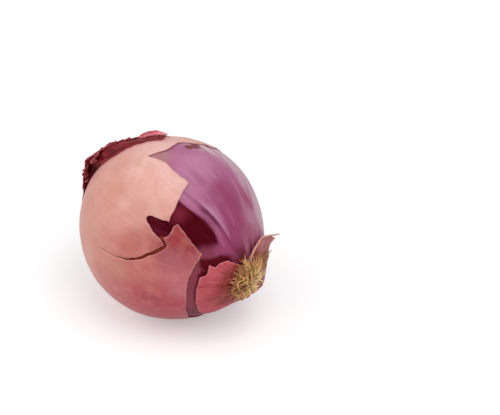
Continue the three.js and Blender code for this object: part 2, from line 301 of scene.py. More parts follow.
def thicken(made, thickness, lined=False):
    """Gives a sheet its thickness, inward. A lined sheet shows its second material inside."""
    solid = made.modifiers.new("thickness", "SOLIDIFY")
    solid.thickness = thickness * MM
    solid.offset = -1
    solid.material_offset = 1 if lined else 0


def finished(made, slot, *nodes):
    """Fixes a piece to the onion, in place of its CAD nodes."""
    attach(made, "root")
    if nodes:
        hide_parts(*nodes)


def even_directions(spacing, pole):
    """Directions this many mm apart, all over the onion but for a cap behind the pole."""
    room, cap_start = spacing ** 2 * 0.866, -0.93
    count = int(4 * math.pi * HALF_WIDTH ** 2 / room)
    index = np.arange(count) + 0.5
    lengthwise = 1 - 2 * index / count
    turn = index * math.pi * (3 - math.sqrt(5))
    ring = np.sqrt(1 - lengthwise ** 2)[:, None]
    spread = np.cos(turn)[:, None] * SIDEWAYS + np.sin(turn)[:, None] * UPWARD
    spots = lengthwise[:, None] * pole + ring * spread
    return spots[lengthwise > cap_start]


def sheet(name, edge, pole, spacing, height, materials, hole=None, beside=None):
    """A sheet of skin over the onion, inside a torn edge and outside a hole.

    Height is a function of theta, phi, the place and its distance to the edge. Beside is a line that the
    sheet's material needs the distance to.
    """
    loops = [flatten(edge, pole)]
    lattice = even_directions(spacing, pole)
    lattice = lattice[inside(flatten(lattice, pole), loops[0])]
    clear_of_edge, clear_of_hole = 0.55 * spacing, 0.3
    lattice = lattice[distance_to(edge, lattice) > clear_of_edge]
    if hole is not None:
        rim = torn_edge(hole, wander=())
        loops.append(flatten(rim, pole))
        outside_hole = ~inside(flatten(lattice, pole), loops[1])
        lattice = lattice[outside_hole & (distance_to(rim, lattice) > clear_of_hole)]
    borders, first = [], 0
    for loop in loops:
        borders += [(first + i, first + (i + 1) % len(loop)) for i in range(len(loop))]
        first += len(loop)
    flat = np.concatenate(loops + [flatten(lattice, pole)])
    found = geometry.delaunay_2d_cdt([Vector(p) for p in flat.tolist()], borders, [], 1, 1e-7)
    flat, faces = np.array([tuple(p) for p in found[0]]), np.array(found[2])
    if hole is not None:
        faces = faces[~inside(flat[faces].mean(axis=1), loops[1])]
    used = np.unique(faces)
    faces = np.searchsorted(used, faces)
    outward = unflatten(flat[used], pole)
    a, b, c = outward[faces[:, 0]], outward[faces[:, 1]], outward[faces[:, 2]]
    facing_in = (np.cross(b - a, c - a) * a).sum(axis=1) < 0
    faces[facing_in] = faces[facing_in][:, ::-1]

    theta, phi = angles(outward)
    depth = distance_to(edge, outward)
    points = on_onion(theta, phi, height(theta, phi, outward * HALF_WIDTH, depth))
    values = {"edge": depth}
    if beside is not None:
        values["collar"] = distance_to(beside, outward)
    made = piece(name, off_the_floor(points, 0.0), faces, materials, values)
    thicken(made, PAPER, len(materials) > 1)
    return made


def strip_faces(rows, columns, first=0):
    """Faces of an open grid of points, which start at the first one."""
    corners = [first + row * columns + column for row in range(rows - 1) for column in range(columns - 1)]
    return [(corner, corner + 1, corner + columns + 1, corner + columns) for corner in corners]


def ring_faces(rows, columns, capped=True):
    """Faces of a tube of rings, with so many columns each. A capped one ends in a point at either end."""
    faces = []
    for row in range(rows - 1):
        for column in range(columns):
            a, b = row * columns + column, row * columns + (column + 1) % columns
            faces.append((a, b, b + columns, a + columns))
    if capped:
        tip, last = rows * columns, (rows - 1) * columns
        faces += [(tip, (column + 1) % columns, column) for column in range(columns)]
        faces += [(tip + 1, last + column, last + (column + 1) % columns) for column in range(columns)]
    return faces


# ---------------------------------------------------------------- materials


def paint(red, green, blue):
    """A colour as the eye reads it, 0 to 255, as the shader takes it."""
    shares = [value / 255 for value in (red, green, blue)]
    return tuple(s / 12.92 if s <= 0.04045 else ((s + 0.055) / 1.055) ** 2.4 for s in shares) + (1.0,)


def spot_on_skin(theta, phi):
    """The place in mm from the centre that a blush spreads from."""
    place = on_onion(theta, phi, np.zeros(()))
    return tuple(float(v) for v in place - CENTRE)


class Nodes:
    """Adds nodes to one material or group, and joins them. A colour may be three numbers for paint."""

    def __init__(self, tree):
        self.tree = tree

    def feed(self, socket, value):
        if isinstance(value, bpy.types.NodeSocket):
            self.tree.links.new(value, socket)
        else:
            socket.default_value = value

    def give(self, label, value):
        """Sets or joins a socket of the material's own shader."""
        self.feed(self.tree.nodes["Principled BSDF"].inputs[label], value)

    def add(self, kind, inputs=None, **settings):
        node = self.tree.nodes.new("ShaderNode" + kind)
        for name, value in settings.items():
            setattr(node, name, value)
        for name, value in (inputs or {}).items():
            self.feed(node.inputs[name], value)
        return node

    def math(self, operation, *values):
        return self.add("Math", dict(enumerate(values)), operation=operation).outputs[0]

    def plus(self, first, second):
        return self.math("ADD", first, second)

    def times(self, first, second):
        return self.math("MULTIPLY", first, second)

    def swing(self, value, width):
        """A value of 0 to 1, made to swing about 0, this wide."""
        return self.times(self.math("SUBTRACT", value, 0.5), width)

    def slope(self, value, start, end, low=0.0, high=1.0):
        """Low before start, high after end, and a soft slope between."""
        inputs = {"Value": value, "From Min": start, "From Max": end, "To Min": low, "To Max": high}
        return self.add("MapRange", inputs, interpolation_type="SMOOTHSTEP").outputs[0]

    def vector(self, operation, *values):
        node = self.add("VectorMath", dict(enumerate(values)), operation=operation)
        return node.outputs["Value" if operation in ("LENGTH", "DOT_PRODUCT", "DISTANCE") else "Vector"]

    def scaled(self, vector, factor):
        return self.add("VectorMath", {0: vector, "Scale": factor}, operation="SCALE").outputs[0]

    def triple(self, value):
        return self.add("CombineXYZ", {i: value for i in range(3)}).outputs[0]

    def noise(self, spot, detail):
        return self.add("TexNoise", {"Vector": spot, "Scale": 1.0, "Detail": detail}).outputs[0]

    def value_at(self, label):
        """A number kept at each point of the mesh."""
        return self.add("Attribute", attribute_name=label).outputs["Fac"]

    def mix(self, share, first, second):
        first, second = (paint(*tint) if isinstance(tint, tuple) else tint for tint in (first, second))
        return self.add("Mix", {0: share, 6: first, 7: second}, data_type="RGBA").outputs[2]

    def over(self, colour, tint, *shares):
        """The colour with a tint over it, by the product of the shares."""
        share = shares[0]
        for more in shares[1:]:
            share = self.times(share, more)
        return self.mix(share, colour, tint)

    def layers(self, colour, rows):
        """The colour with tints over it in turn. A row is a tint and its shares."""
        for tint, *shares in rows:
            colour = self.over(colour, tint, *shares)
        return colour

    def group(self, name, **inputs):
        node = self.tree.nodes.new("ShaderNodeGroup")
        node.node_tree = bpy.data.node_groups[name]
        for key, value in inputs.items():
            self.feed(node.inputs[key], value)
        return node.outputs[0]

    def grain(self, lines, length, detail, seed):
        return self.group("Meridian Grain", Lines=lines, Length=length, Detail=detail, Seed=seed)

    def mottle(self, size, detail, seed):
        return self.group("Mottle", Size=size, Detail=detail, Seed=seed)

    def rim(self, width, seed):
        return self.group("Torn Rim", Distance=self.value_at("edge"), Width=width, Seed=seed)

    def blush(self, theta, phi, reach, fade, seed):
        return self.group("Blush", Middle=spot_on_skin(theta, phi), Reach=reach, Fade=fade, Seed=seed)

    def blushes(self, colour, rows, *masks):
        """The colour with soft patches over it, as theta, phi, reach, fade, share and tint."""
        for theta, phi, reach, fade, share, tint in rows:
            colour = self.over(colour, tint, self.blush(theta, phi, reach, fade, theta), *masks, share)
        return colour

    def cover(self, colour, roughness, height, depth, strength=1.0):
        """Gives the shader its colour, its roughness and a relief that stands for a depth in mm."""
        bump = self.add("Bump", {"Height": height, "Distance": depth * MM, "Strength": strength})
        self.give("Base Color", colour)
        self.give("Roughness", roughness)
        self.give("Normal", bump.outputs[0])


def new_finish(name, **settings):
    """A material and its nodes, with these settings on its shader."""
    material = bpy.data.materials.new(name)
    material.use_nodes = True
    n = Nodes(material.node_tree)
    for label, value in settings.items():
        n.give(label.replace("_", " "), value)
    return material, n


def new_group(name, output, kind="NodeSocketFloat", **inputs):
    """A shader node group with one output. Its inputs start at these values."""
    tree = bpy.data.node_groups.new(name, "ShaderNodeTree")
    for label, value in inputs.items():
        input_kind = "NodeSocketVector" if isinstance(value, tuple) else "NodeSocketFloat"
        tree.interface.new_socket(label, in_out="INPUT", socket_type=input_kind).default_value = value
    tree.interface.new_socket(output, in_out="OUTPUT", socket_type=kind)
    given = tree.nodes.new("NodeGroupInput").outputs
    return Nodes(tree), given, tree.nodes.new("NodeGroupOutput").inputs[0]


def make_groups():
    """The effects that more than one of the onion's finishes uses."""
    # Where a point is, in mm from the bulb's centre.
    n, _, out = new_group("Onion Place", "Place", "NodeSocketVector")
    here = n.add("TexCoord").outputs["Object"]
    n.feed(out, n.vector("SUBTRACT", n.scaled(here, 1 / MM), tuple(CENTRE)))

    # Streaks from root to neck, so many lines round the onion.
    n, given, out = new_group("Meridian Grain", "Grain", Lines=60.0, Length=40.0, Detail=2.0, Seed=0.0)
    place = n.group("Onion Place")
    side, up, rootward = (
        n.vector("DOT_PRODUCT", place, tuple(way)) for way in (SIDEWAYS, UPWARD, ROOTWARD))
    turn = n.math("ARCTAN2", side, up)
    ring = n.math("DIVIDE", given["Lines"], 2 * math.pi)
    off_axis = n.math("SQRT", n.plus(n.times(side, side), n.times(up, up)))
    theta = n.math("DEGREES", n.math("ARCTAN2", off_axis, rootward))
    lengthwise = n.plus(n.math("DIVIDE", theta, given["Length"]), given["Seed"])
    spot = n.add("CombineXYZ", {0: n.times(n.math("COSINE", turn), ring),
                                1: n.times(n.math("SINE", turn), ring), 2: lengthwise}).outputs[0]
    n.feed(out, n.slope(n.noise(spot, given["Detail"]), 0.25, 0.75))

    # Clouds of a size in mm.
    n, given, out = new_group("Mottle", "Mottle", Size=5.0, Detail=2.0, Seed=0.0)
    spot = n.vector("DIVIDE", n.group("Onion Place"), n.triple(given["Size"]))
    spot = n.vector("ADD", spot, n.triple(given["Seed"]))
    n.feed(out, n.slope(n.noise(spot, given["Detail"]), 0.25, 0.75))

    # A soft patch round a spot, which fades out over some mm.
    n, given, out = new_group("Blush", "Blush", Middle=(0.0, 0.0, 0.0), Reach=10.0, Fade=8.0, Seed=0.0)
    away = n.vector("DISTANCE", n.group("Onion Place"), given["Middle"])
    wobble = n.swing(n.mottle(13, 2, given["Seed"]), n.times(given["Fade"], 0.45))
    edge = n.plus(n.math("SUBTRACT", away, given["Reach"]), wobble)
    n.feed(out, n.slope(n.math("DIVIDE", edge, given["Fade"]), -0.5, 0.5, 1.0, 0.0))

    # A frayed band along a torn edge.
    n, given, out = new_group("Torn Rim", "Rim", Distance=0.0, Width=1.0, Seed=0.0)
    reach = n.times(given["Width"], n.plus(n.mottle(1.6, 3, given["Seed"]), 0.5))
    n.feed(out, n.slope(n.math("DIVIDE", given["Distance"], reach), 0.2, 1.0, 1.0, 0.0))

    # The edges of thin layers, as lines that follow a torn edge.
    n, given, out = new_group("Rim Lines", "Lines", Distance=0.0, Width=1.0, Seed=0.0)
    step = n.math("DIVIDE", given["Distance"], given["Width"])
    across = n.add("CombineXYZ", {0: step, 1: given["Seed"]}).outputs[0]
    spot = n.vector("ADD", n.scaled(n.group("Onion Place"), 0.16), across)
    n.feed(out, n.slope(n.noise(spot, 3.0), 0.3, 0.7))


def papery_skin():
    """Outside of the dry outer skin: peach above, rose below, red at the flap, with fine veins."""
    material, n = new_finish("papery_skin", Specular_IOR_Level=0.4, Sheen_Weight=0.2, Sheen_Roughness=0.4)
    colour = n.mix(n.mottle(18, 1, 3), (215, 143, 127), (223, 161, 147))
    colour = n.over(colour, (240, 188, 178), n.blush(92, 6, 20, 30, 1))
    colour = n.blushes(colour, (
        (66, 82, 17, 26, 0.8, (197, 104, 96)),
        (67, 59, 5, 7, 0.9, (180, 96, 86)),
        (76, 47, 4, 8, 0.4, (206, 150, 138)),
        (80, 125, 24, 34, 0.75, (206, 118, 112)),
        (50, 125, 23, 24, 0.95, (184, 62, 74)),
        (100, 175, 34, 36, 0.85, (190, 88, 92)),
        (54, 190, 26, 24, 0.8, (176, 70, 82)),
        (49, 51, 10, 9, 1.0, (153, 42, 56)),
        (56, 43, 5, 6, 0.9, (159, 39, 47)),
        (48, 66, 5, 9, 0.6, (184, 106, 116)),
        (40, 82, 8, 12, 0.5, (196, 100, 112)),
        (128, -95, 26, 34, 0.7, (206, 120, 118)),
        (80, 86, 5, 9, 0.45, (206, 158, 130)),
        (124, 25, 8, 16, 0.5, (218, 146, 132)),
        (73, 67, 8, 12, 0.6, (190, 104, 94)),
        (46, 124, 9, 12, 0.5, (178, 56, 68)),
        (40, 90, 4, 8, 0.5, (198, 116, 126)),
        (40, 54, 1.0, 3, 0.4, (196, 118, 130)),
        (58, 105, 4, 6, 0.5, (166, 58, 70)),
        (74, 58, 3, 7, 0.55, (180, 104, 94)),
        (85, 43, 7, 12, 0.4, (208, 146, 134)),
        (114, 27, 4, 9, 0.5, (206, 138, 126)),
        (150, 20, 14, 16, 0.6, (228, 142, 142))))
    veins = n.grain(95, 55, 2, 2)
    fibres = n.grain(420, 30, 3, 5)
    fine = n.mottle(2.4, 4, 7)
    colour = n.layers(colour, (
        ((190, 110, 104), n.slope(veins, 0.62, 0.95, 0.0, 0.1)),
        ((246, 214, 196), n.slope(fibres, 0.5, 1.0, 0.0, 0.07)),
        ((196, 128, 116), n.slope(fine, 0.55, 1.0, 0.0, 0.16))))
    browned = n.slope(n.mottle(9, 3, 11), 0.7, 1.0, 0.0, 0.35)
    colour = n.layers(colour, (
        ((206, 154, 122), n.blush(98, 30, 30, 26, 12), browned),
        ((226, 146, 138), n.slope(n.mottle(6, 2, 14), 0.55, 1.0, 0.0, 0.2)),
        # A paler pink rim along torn edges: partly the thin skin's own colour, partly a painted highlight
        # where the edge catches the light.
        ((236, 176, 182), n.rim(0.7, 2), 0.2),
        ((192, 88, 86), n.slope(n.value_at("collar"), -1.0, 4.2, 0.75, 0.0))))
    height = n.plus(n.times(veins, 0.5), n.plus(n.times(fibres, 0.22), fine))
    n.cover(colour, n.slope(fibres, 0.0, 1.0, 0.4, 0.56), height, 0.06, 0.8)
    return material


def skin_lining():
    """Inside of the outer skin: paler and plainer, pinkish."""
    material, n = new_finish("skin_lining")
    fibres = n.grain(260, 40, 3, 9)
    n.cover(n.mix(fibres, (196, 118, 120), (222, 160, 156)), 0.42, fibres, 0.05)
    return material


def purple_flesh():
    """The fresh outermost scale: glossy plum with lavender streaks, fine veins and maroon patches, with
    painted sheen over its top and right and painted shade along the skins' edges.
    """
    material, n = new_finish("purple_flesh", Specular_IOR_Level=0.04, Coat_Roughness=0.3)
    streaks = n.grain(60, 60, 3, 1)
    fine = n.grain(300, 34, 3, 8)
    mottle = n.mottle(12, 2, 5)
    colour = n.mix(n.blush(12, 14, 19, 36, 1), (173, 91, 133), (147, 54, 94))
    # The lavender patches over the top (theta 68 to 80) and the pale one at the right (36, -32) are partly
    # painted highlight and sheen, over the flesh's own colour.
    colour = n.blushes(colour, (
        (80, 4, 15, 22, 1.0, (190, 120, 154)),
        (48, -8, 8, 14, 0.85, (150, 56, 98)),
        (36, -32, 6, 7, 0.8, (192, 138, 156)),
        (24, -22, 5, 6, 0.6, (176, 104, 130)),
        (68, 8, 6, 9, 0.5, (198, 132, 168)),
        (76, -3, 7, 10, 0.75, (206, 140, 176)),
        (104, 12, 8, 6, 0.8, (186, 134, 130)),
        (50, -36, 5, 5, 0.6, (156, 44, 76)),
        (33.5, 44, 3, 4.5, 0.85, (108, 28, 52)),
        (90, 150, 60, 60, 0.6, (150, 56, 92))))
    colour = n.over(colour, (150, 64, 104), n.grain(14, 46, 1, 4), 0.1)
    come_and_go = n.slope(mottle, 0.2, 0.8)
    colour = n.layers(colour, (
        ((204, 146, 178), n.slope(streaks, 0.6, 1.0, 0.0, 0.28), come_and_go),
        ((122, 40, 80), n.slope(streaks, 0.36, 0.05, 0.0, 0.22), come_and_go),
        ((206, 150, 180), n.slope(fine, 0.6, 1.0, 0.0, 0.1))))
    lower = n.blush(8, 8, 11.5, 7, 13)
    colour = n.layers(colour, (
        ((100, 16, 62), lower, n.slope(streaks, 0.5, 0.2, 0.0, 0.2)),
        ((96, 14, 52), lower, n.slope(fine, 0.5, 0.2, 0.0, 0.15)),
        ((96, 12, 30), n.blush(0, 0, 15.5, 8, 4), n.slope(streaks, 0.66, 0.4, 0.25, 1.0))))

    # The pale, finely veined streak, partly a painted sheen near the right rim; and dark red patches under
    # the top tear, partly pigment and partly painted shade under the lifted edge.
    band = n.slope(n.plus(n.value_at("pale_sheen_streak"), n.swing(mottle, 3.0)), 3.5, 10.5, 1.0, 0.0)
    hairs = n.grain(150, 90, 2, 12)
    colour = n.over(colour, (214, 176, 190), band, n.slope(hairs, 0.3, 0.7, 0.4, 1.0))
    colour = n.over(colour, (130, 76, 106), band, n.slope(hairs, 0.4, 0.1, 0.0, 0.7))
    # Dark red under the lifted top tear: partly pigment, partly painted shade.
    for theta, phi, reach in ((94.4, -12.5, 1.8), (93.2, -16.5, 2.0), (94.2, -20.5, 1.5)):
        colour = n.over(colour, (120, 8, 36), n.blush(theta, phi, reach, 1.8, theta))

    # The painted shadow below the second fold and the painted highlight along its raised edge, and a paler
    # stripe along the first fold, partly a painted highlight on its lifted edge.
    above = n.value_at("second_fold")
    shadow = n.times(n.slope(above, -0.12, 0.22, 1.0, 0.0), n.slope(above, -1.6, -0.6))
    deepest = n.slope(n.blush(46, 17.5, 6, 6, 3), 0.0, 1.0, 0.32, 0.92)
    colour = n.over(colour, (100, 14, 56), shadow, deepest)
    bright = n.times(n.slope(above, -0.08, 0.3), n.slope(above, 0.4, 1.9, 1.0, 0.0))
    bright = n.times(bright, n.blush(45, 12, 8.5, 8, 0))
    colour = n.over(colour, (194, 138, 168), bright, n.slope(streaks, 0.2, 0.8, 0.55, 0.9))
    fold = n.value_at("fold")
    stripe = n.slope(n.math("ABSOLUTE", n.plus(fold, -0.9)), 0.2, 1.1, 0.6, 0.0)
    colour = n.over(colour, (168, 92, 130), stripe)
    colour = n.over(colour, (138, 54, 68), n.blush(36, 104, 22, 12, 7), 0.9)

    # The maroon patches, frayed along the streaks. The small ones are partly painted shade along the skins'
    # edges and round the crack.
    cloud = n.swing(n.mottle(3.2, 3, 6), 0.7)
    frayed = n.plus(cloud, n.swing(streaks, 1.6))
    large = n.slope(n.plus(n.value_at("stain"), frayed), -1.9, 2.3, 1.0, 0.0)
    lap = n.plus(fold, n.swing(streaks, 1.4))
    large = n.times(large, n.slope(lap, -0.9, 0.6, 1.0, 0.0))
    small = n.slope(n.plus(n.value_at("small_stains_and_shade"), n.times(cloud, 0.6)), -0.9, 1.2, 1.0, 0.0)
    stain = n.math("MAXIMUM", large, small)
    left_end = n.blush(64, 33, 4, 7, 9)
    dark = n.mix(mottle, (62, 1, 12), (80, 3, 18))
    dark = n.layers(dark, (
        ((130, 38, 56), left_end, 0.85),
        ((130, 40, 66), n.slope(streaks, 0.5, 1.0), n.slope(left_end, 0.0, 1.0, 0.3, 0.7)),
        ((88, 10, 22), small)))
    colour = n.mix(stain, colour, dark)

    # What shows through the crack: brown, painted paler at its thin end to lift the shade of the narrow
    # gap; and painted shade at the low end of the bare strip, by the floor.
    in_crack = n.mix(n.blush(93, 80, 9, 9, 16), (130, 50, 36), (255, 176, 140))
    colour = n.mix(n.slope(n.value_at("crack"), 0.9, 1.6, 0.9, 0.0), colour, in_crack)
    colour = n.over(colour, (98, 32, 42), n.blush(37, 132, 4, 6, 15), 0.9)
    roughness = n.math("MAXIMUM", n.slope(fine, 0.0, 1.0, 0.3, 0.42), n.times(stain, 0.7))
    n.cover(colour, roughness, n.plus(n.times(streaks, 0.6), n.times(fine, 0.3)), 0.05, 0.7)
    n.give("Coat Weight", n.slope(stain, 0.0, 1.0, 0.34, 0.0))
    return material


def rosy_scrap():
    """The scrap of skin left at the root end: rose red, browner and darker at the roots."""
    material, n = new_finish("rosy_scrap", Specular_IOR_Level=0.3)
    streaks = n.grain(90, 12, 3, 3)
    fine = n.grain(380, 9, 3, 6)
    near_root = n.blush(0, 0, 14, 7, 4)
    flare = n.blush(27, -82, 12, 8, 5)
    colour = n.mix(n.mottle(7, 3, 2), (184, 66, 77), (205, 88, 98))
    colour = n.layers(colour, (
        ((138, 36, 22), near_root, 0.9),
        ((138, 36, 28), n.blush(18, 125, 4, 7, 8), 0.9),
        ((112, 12, 10), n.slope(n.mottle(2.2, 1, 21), 0.36, 0.2), near_root, 0.7),
        ((184, 112, 116), flare),
        ((110, 40, 36), flare, n.slope(n.mottle(2.6, 2, 15), 0.32, 0.12, 0.0, 0.5)),
        ((206, 114, 118), n.slope(streaks, 0.5, 1.0, 0.0, 0.4)),
        ((128, 36, 46), n.slope(streaks, 0.4, 0.0, 0.0, 0.5)),
        ((220, 142, 134), n.slope(fine, 0.6, 1.0, 0.0, 0.2)),
        # A paler rim along torn edges: partly the skin's own colour, partly a painted highlight.
        ((214, 126, 134), n.rim(0.7, 4), 0.6)))
    n.cover(colour, n.slope(fine, 0.0, 1.0, 0.4, 0.56), n.plus(streaks, n.times(fine, 0.4)), 0.09, 0.8)
    return material


def dry_maroon(name, deep, mid, pale, rim_tint, rim_width, seed, layers=0.0):
    """Dry, crumpled skin at the neck, streaked along its length, with a tinted rim, partly a painted
    highlight on the torn edge.

    Layers is how strongly the edges of thin layers show, as pale and dark lines that follow the rim, partly
    a painted highlight and shade on their small ridges.
    """
    material, n = new_finish(name, Specular_IOR_Level=0.12)
    streaks = n.grain(70, 14, 3, seed)
    fine = n.grain(260, 8, 3, seed + 2)
    colour = n.mix(n.mottle(4.5, 3, seed + 1), deep, mid)
    colour = n.over(colour, pale, n.slope(streaks, 0.5, 1.0, 0.0, 0.5 - 0.2 * layers))
    colour = n.over(colour, pale, n.slope(fine, 0.55, 1.0, 0.0, 0.3))
    lines = n.group("Rim Lines", Distance=n.value_at("edge"), Width=1.1, Seed=seed)
    near = n.slope(n.value_at("edge"), 4.0, 9.0, layers, 0.0)
    # The pale and dark lines along the layers' edges are partly painted highlight and shade on their
    # ridges; the rim tint, mostly paler, is partly a painted highlight.
    colour = n.layers(colour, (
        (pale, near, n.slope(lines, 0.6, 0.95)),
        ((46, 6, 12), near, n.slope(lines, 0.4, 0.1, 0.0, 0.8)),
        (rim_tint, n.rim(rim_width, seed), 0.7),
        ((56, 32, 26), n.blush(150, 41, 3.4, 3, seed), 0.75)))
    height = n.plus(n.plus(streaks, n.times(fine, 0.5)), n.times(lines, layers))
    n.cover(colour, n.slope(fine, 0.0, 1.0, 0.45, 0.68), height, 0.12, 0.8)
    return material


def dry_root():
    """Golden, dried rootlets, each with its own tone, darker and browner at their bases, partly painted
    shade deep in the tuft.
    """
    material, n = new_finish("dry_root", Specular_IOR_Level=0.35)
    cloud = n.mottle(1.1, 3, 3)
    tone = n.value_at("tone")
    along = n.value_at("along")
    colour = n.mix(tone, (214, 156, 84), (255, 216, 148))
    # Darker and browner toward the bases: partly painted shade deep in the mat of rootlets.
    colour = n.layers(colour, (
        ((194, 120, 92), n.slope(along, 0.45, 1.0, 0.0, 0.6)),
        ((186, 112, 68), n.slope(tone, 0.3, 0.1, 0.0, 0.7)),
        ((228, 166, 158), n.slope(tone, 0.88, 0.93)),
        ((116, 70, 26), n.slope(along, 0.4, 0.05, 0.0, 0.85)),
        ((150, 98, 50), cloud, 0.3)))
    # The pale yellow patch at 12, -118 is partly painted light, brighter to lift the shade on that side of
    # the tuft.
    colour = n.blushes(colour, (
        (14, 95, 6, 7, 0.75, (152, 78, 52)),
        (12, -118, 8, 7, 0.75, (255, 224, 168)),
        (12, 32, 3, 4, 0.45, (146, 72, 48)),
        (16, -72, 5.5, 4, 0.8, (146, 80, 66))), n.slope(along, 0.05, 0.4, 0.3, 1.0))
    n.cover(colour, n.slope(cloud, 0.0, 1.0, 0.5, 0.72), cloud, 0.1)
    return material


def corky_plate():
    """The root plate: brown and corky, with darker pits."""
    material, n = new_finish("corky_plate", Specular_IOR_Level=0.3)
    pits = n.mottle(0.9, 4, 8)
    colour = n.mix(n.mottle(3.5, 3, 9), (150, 92, 42), (184, 124, 64))
    colour = n.over(colour, (66, 36, 22), n.slope(pits, 0.45, 0.1))
    n.cover(colour, n.slope(pits, 0.0, 1.0, 0.68, 0.85), pits, 0.35)
    return material


make_groups()
PAPERY_SKIN = papery_skin()
SKIN_LINING = skin_lining()
PURPLE_FLESH = purple_flesh()
ROSY_SCRAP = rosy_scrap()
COLLAR_OUTSIDE = dry_maroon(
    "collar_outside", (88, 14, 28), (122, 34, 46), (162, 84, 78), (176, 84, 90), 0.4, 1, 0.25)
# The collar's inside is painted much brighter and pinker than its outside: partly its own paler colour,
# partly painted light that lifts the shade under the collar.
COLLAR_INSIDE = dry_maroon(
    "collar_inside", (150, 40, 54), (196, 72, 82), (226, 128, 122), (240, 142, 156), 0.9, 3)
WRAP_SKIN = dry_maroon("wrap_skin", (98, 8, 20), (124, 18, 32), (154, 62, 62), (150, 56, 56), 0.7, 13, 0.6)
FLAKE_SKIN = dry_maroon("flake_skin", (104, 18, 34), (144, 46, 56), (186, 98, 98), (200, 116, 120), 0.35, 9)
NECK_SKIN = dry_maroon("neck_skin", (84, 30, 26), (124, 58, 44), (190, 136, 100), (176, 122, 88), 0.5, 5)
# The rolled strip is painted bright pink: partly its own colour, partly a painted highlight where the curl
# catches the light.
ROLL_SKIN = dry_maroon(
    "roll_skin", (238, 136, 152), (252, 168, 180), (255, 214, 214), (214, 110, 120), 0.4, 7)
TATTER_SKIN = dry_maroon(
    "tatter_skin", (176, 22, 56), (206, 62, 88), (236, 146, 152), (228, 134, 144), 0.5, 11)
DRY_ROOT = dry_root()
CORKY_PLATE = corky_plate()


# ---------------------------------------------------------------- the bulb


def make_bulb():
    """The fleshy bulb, with its finest grid where the torn skin leaves it bare."""
    # Past these angles the papery skin covers the bulb, and wide gaps of three degrees or so will do.
    bare_theta, bare_phi = 110, 150
    rows = np.concatenate((np.arange(1.2, bare_theta, 0.86), np.arange(bare_theta, 179, 3.0)))
    columns = np.concatenate((np.arange(-84, bare_phi, 0.76), np.arange(bare_phi, 274.5, 2.5)))
    theta, phi = (grid.ravel() for grid in np.meshgrid(rows, columns, indexing="ij"))
    theta, phi = np.append(theta, (0.0, 180.0)), np.append(phi, (0.0, 0.0))
    outward = direction(theta, phi)

    def away_from(corners):
        """Distance in mm from a smooth line."""
        return distance_to(torn_edge(corners, wander=(), closed=False), outward)

    def past(corners):
        """Distance in mm from a patch's border, less than nothing inside it."""
        border = torn_edge(corners, wander=((6, 0.5),))
        within = inside(flatten(outward, ROOTWARD), flatten(border, ROOTWARD))
        away = distance_to(border, outward)
        return np.where(within, -away, away)

    def above(corners):
        """Distance in mm above a fold line, less than nothing below it."""
        line = torn_edge(corners, wander=((7, 0.5), (2.5, 0.2)), closed=False)
        line_theta, line_phi = angles(line)
        order = np.argsort(line_theta)
        over = phi < np.interp(theta, line_theta[order], line_phi[order])
        away = np.minimum(distance_to(line, outward), 30)
        return np.where(over & (phi > -100), away, -away)

    crack = away_from(CRACK_LINE)
    large, *small = [past(corners) for corners in STAIN_AND_SHADE_PATCHES]
    small.append(crack - 2.0)
    fold, second_fold = above(FOLD), above(SECOND_FOLD)
    bare = ease(70 - theta, 0, 8)
    height = -BULB_DEPTH + 0.06 * ribs(theta, phi, 64, seed=1) * ease(theta, 4, 20)
    height += dents(outward * HALF_WIDTH)
    lap = 0.12 * np.exp(-((fold - 0.5) / 0.8) ** 2)
    height += bare * (lap - 0.18 * ease(-fold, -0.3, 1.2) * ease(-fold, 14, 8))
    height += bare * (0.1 * ease(second_fold, -0.8, 0.8) * ease(second_fold, 8, 2) - 0.06)
    values = {"stain": large, "small_stains_and_shade": np.min(small, axis=0), "fold": fold,
              "second_fold": second_fold / np.interp(theta, *zip(*FOLD_WIDTHS)),
              "pale_sheen_streak": away_from(PALE_SHEEN_STREAK), "crack": crack}
    points = off_the_floor(on_onion(theta, phi, height), BULB_DEPTH)
    bulb = piece("bulb", points, ring_faces(len(rows), len(columns)), [PURPLE_FLESH], values)
    finished(bulb, "bulb", "bulb")


# ---------------------------------------------------------------- the skins

# Corners of the outer skin that lift off, as [theta, phi, mm, how far round the corner].
LIFTED_TIPS = [(70.5, 13, 0.35, 4.5), (63, 41, 0.55, 5), (58.7, 38.4, 0.5, 4), (36.5, 47.5, 0.5, 4),
               (98, 2, 0.25, 6), (76.5, 46, 0.15, 3)]


def outer_skin_height(theta, phi, place, depth):
    """Cockles, ribs and shallow dents, with torn edges that lift and curl a little."""
    curl = 0.04 + 0.14 * np.clip(ripple(place, 7, seed=4), -0.5, 1.0)
    for tip_theta, tip_phi, lift, reach in LIFTED_TIPS:
        away = np.linalg.norm(place - direction(tip_theta, tip_phi) * HALF_WIDTH, axis=1)
        curl += lift * np.exp(-(away / reach) ** 2)
    height = curl * np.exp(-depth / 1.9)
    height += 0.055 * ribs(theta, phi, 84, seed=3) * ease(180 - theta, 6, 30)
    height += dents(place) + 0.035 * ripple(place, 3.4, seed=6)
    return height


def scrap_lift(theta, phi):
    """How far the scrap at the root end stands off, as a skirt that opens on its far side."""
    tip = 2.2 * np.exp(-((theta - 36) / 4.5) ** 2 - ((phi + 77) / 5.5) ** 2)
    return np.interp(phi, *zip(*SCRAP_LIFT)) * (1 - np.exp(-np.maximum(theta - 9, 0) / 4.5)) + tip


def root_scrap_height(theta, phi, place, depth):
    """Close to the bulb, with lifted teeth, and a flare at its far end."""
    height = -0.08 + 0.14 * ribs(theta, phi, 60, length=14, seed=7) * ease(theta, 12, 24) + dents(place)
    height += (0.1 + 0.26 * ripple(place, 4, seed=8)) * np.exp(-depth / 1.2)
    height += scrap_lift(theta, phi) * (1 + 0.12 * ribs(theta, phi, 36, length=20, seed=9))
    return height + 0.06 * ripple(place, 6, seed=9)


